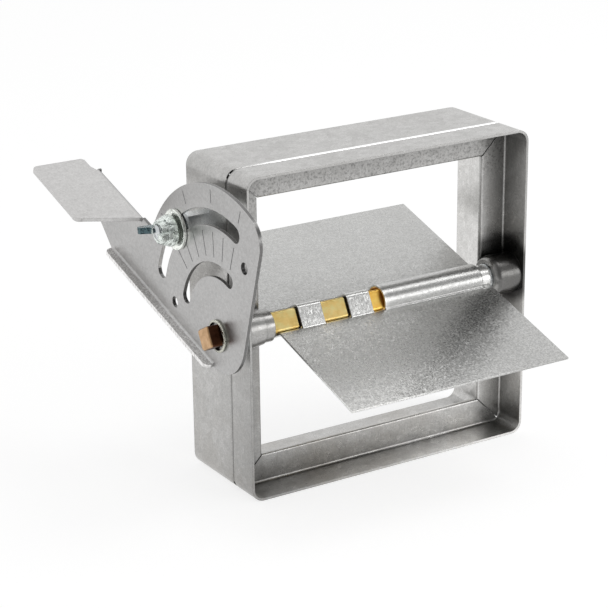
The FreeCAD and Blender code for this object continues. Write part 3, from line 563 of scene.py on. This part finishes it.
def threaded_stud():
    """The M6 stud with its round head and a rolled thread out to its rounded end."""
    radius, groove_depth, pitch = 0.003, 0.00055, 0.001
    start, end, stations, segments = -0.0628, -0.0791, 150, 40
    run_in, run_out, tip_round = 0.001, 0.0006, 0.0005
    head, head_height, head_radius, head_chamfer, pinched = -0.0615, 0.0015, 0.005, 0.0005, 0.0001
    turns = [2 * math.pi * segment / segments for segment in range(segments)]

    def ring(x, radii):
        return [(x, STUD_Y + r * math.cos(turn), STUD_Z + r * math.sin(turn))
                for r, turn in zip(radii, turns)]

    profile = [(head + head_height, pinched), (head + head_height, head_radius - head_chamfer),
               (head + head_height - head_chamfer, head_radius), (head, head_radius), (head, radius)]
    rings = [ring(x, [r] * segments) for x, r in profile]
    for station in range(stations + 1):
        x = start + (end - start) * station / stations
        fade = min(1.0, (start - x) / run_in, (x - end) / run_out)
        core = radius - tip_round * (1 - min(1.0, (x - end) / tip_round))
        phases = [(x / pitch + segment / segments) % 1.0 for segment in range(segments)]
        rings.append(ring(x, [core - groove_depth * fade * abs(2 * phase - 1) for phase in phases]))
    rings.append(ring(end, [pinched] * segments))

    points = [point for one in rings for point in one]
    faces = []
    for row in range(len(rings) - 1):
        low, high = row * segments, (row + 1) * segments
        for segment in range(segments):
            following = (segment + 1) % segments
            faces.append((low + segment, high + segment, high + following, low + following))
    last = (len(rings) - 1) * segments
    faces.append(tuple(range(segments)))
    faces.append(tuple(last + segment for segment in reversed(range(segments))))
    stud = new_piece("threaded_stud", points, faces, bright_zinc, "casing_body", smooth=True)
    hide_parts("locking_stud")


def camera_like_photo():
    azimuth, elevation, roll = math.radians(-31.78), math.radians(19.80), math.radians(-0.65)
    back = Vector((math.sin(azimuth) * math.cos(elevation), -math.cos(azimuth) * math.cos(elevation),
                   math.sin(elevation)))
    right = (-back).cross(Vector((0, 0, 1))).normalized()
    up = right.cross(-back)
    across = right * math.cos(roll) + up * math.sin(roll)
    above = up * math.cos(roll) - right * math.sin(roll)
    data = bpy.data.cameras.new("photo_camera")
    data.sensor_width = 36.0
    data.lens = 123.67
    data.shift_x = 0.00214
    data.shift_y = 0.02385
    data.clip_start = 0.01
    data.clip_end = 20.0
    camera = bpy.data.objects.new("photo_camera", data)
    matrix = Matrix((across, above, back)).transposed().to_4x4()
    matrix.translation = Vector((-0.4185, -0.6112, 0.2649))
    camera.matrix_world = matrix
    bpy.context.scene.collection.objects.link(camera)
    bpy.context.scene.camera = camera


def seen_directly(tree):
    """1 for rays that see the background as it looks: from the camera, off metal or through glass."""
    path = tree.nodes.new("ShaderNodeLightPath")
    seen = path.outputs["Is Camera Ray"]
    for name in ("Is Glossy Ray", "Is Transmission Ray"):
        either = tree.nodes.new("ShaderNodeMath")
        either.operation = "MAXIMUM"
        tree.links.new(seen, either.inputs[0])
        tree.links.new(path.outputs[name], either.inputs[1])
        seen = either.outputs[0]
    return seen


def pale_floor():
    """A white floor that keeps a soft shadow, pale grey for the light it scatters."""
    reach, scattered, shadowed, glow_strength, glow_near_camera = 4.0, 0.60, 0.40, 0.73, 0.45
    mesh = bpy.data.meshes.new("floor")
    corners = [(-reach, -reach), (reach, -reach), (reach, reach), (-reach, reach)]
    mesh.from_pydata([(x, y, FLOOR_Z) for x, y in corners], [], [(0, 1, 2, 3)])
    floor = bpy.data.objects.new("floor", mesh)
    bpy.context.scene.collection.objects.link(floor)
    t = Tree("floor_paint")
    t.tree.nodes.remove(t.shader)
    matt, shade = t.add("ShaderNodeBsdfDiffuse"), t.add("ShaderNodeBsdfDiffuse")
    matt.inputs["Color"].default_value = (scattered, scattered, scattered, 1.0)
    shade.inputs["Color"].default_value = (shadowed, shadowed, shadowed, 1.0)
    glow = t.add("ShaderNodeEmission")
    graded = t.ramp(t.position()[1], -0.62, -0.20, glow_near_camera, glow_strength)
    camera_ray = t.add("ShaderNodeLightPath").outputs["Is Camera Ray"]
    t.link(t.math("MAXIMUM", graded, t.product(camera_ray, glow_strength)), glow.inputs["Strength"])
    seen = t.add("ShaderNodeAddShader")
    t.link(shade.outputs[0], seen.inputs[0])
    t.link(glow.outputs[0], seen.inputs[1])
    mix = t.add("ShaderNodeMixShader")
    for source, socket in zip((seen_directly(t.tree), matt.outputs[0], seen.outputs[0]), mix.inputs):
        t.link(source, socket)
    t.link(mix.outputs[0], t.output.inputs[0])
    mesh.materials.append(t.material)


def white_room():
    """A white background that metal shows too, dimmer behind the camera, and a soft surround for the rest."""
    world = bpy.data.worlds.new("white_room")
    bpy.context.scene.world = world
    world.use_nodes = True
    tree = world.node_tree
    tree.nodes.clear()
    add, link = tree.nodes.new, tree.links.new

    direction, axes = add("ShaderNodeTexCoord"), add("ShaderNodeSeparateXYZ")
    link(direction.outputs["Generated"], axes.inputs[0])
    level = add("ShaderNodeMapRange")
    level.interpolation_type = "SMOOTHSTEP"
    for name, number in (("From Min", -0.8), ("From Max", 0.45), ("To Min", 0.35), ("To Max", 1.0)):
        level.inputs[name].default_value = number
    link(axes.outputs[1], level.inputs["Value"])
    brightest = add("ShaderNodeMath")
    brightest.operation = "MAXIMUM"
    link(level.outputs[0], brightest.inputs[0])
    link(add("ShaderNodeLightPath").outputs["Is Camera Ray"], brightest.inputs[1])

    soft, seen = add("ShaderNodeBackground"), add("ShaderNodeBackground")
    for background in (soft, seen):
        background.inputs["Color"].default_value = (1, 1, 1, 1)
    soft.inputs["Strength"].default_value = 0.6
    link(brightest.outputs[0], seen.inputs["Strength"])
    mix, output = add("ShaderNodeMixShader"), add("ShaderNodeOutputWorld")
    for source, socket in zip((seen_directly(tree), soft.outputs[0], seen.outputs[0]), mix.inputs):
        link(source, socket)
    link(mix.outputs[0], output.inputs[0])


def softbox(name, place, width, height, power):
    """A rectangular lamp that looks at the origin."""
    data = bpy.data.lights.new(name, "AREA")
    data.shape = "RECTANGLE"
    data.size = width
    data.size_y = height
    data.energy = power
    lamp = bpy.data.objects.new(name, data)
    lamp.location = place
    lamp.rotation_mode = "QUATERNION"
    lamp.rotation_quaternion = (-Vector(place)).to_track_quat("-Z", "Y")
    bpy.context.scene.collection.objects.link(lamp)


scale_marks()
threaded_stud()
camera_like_photo()
pale_floor()
white_room()
softbox("overhead", (0.50, -0.16, 0.88), 0.42, 0.42, 1.35)
softbox("front_right", (0.66, -1.05, 0.26), 0.8, 0.46, 2.9)

bpy.context.scene.view_settings.view_transform = "Standard"
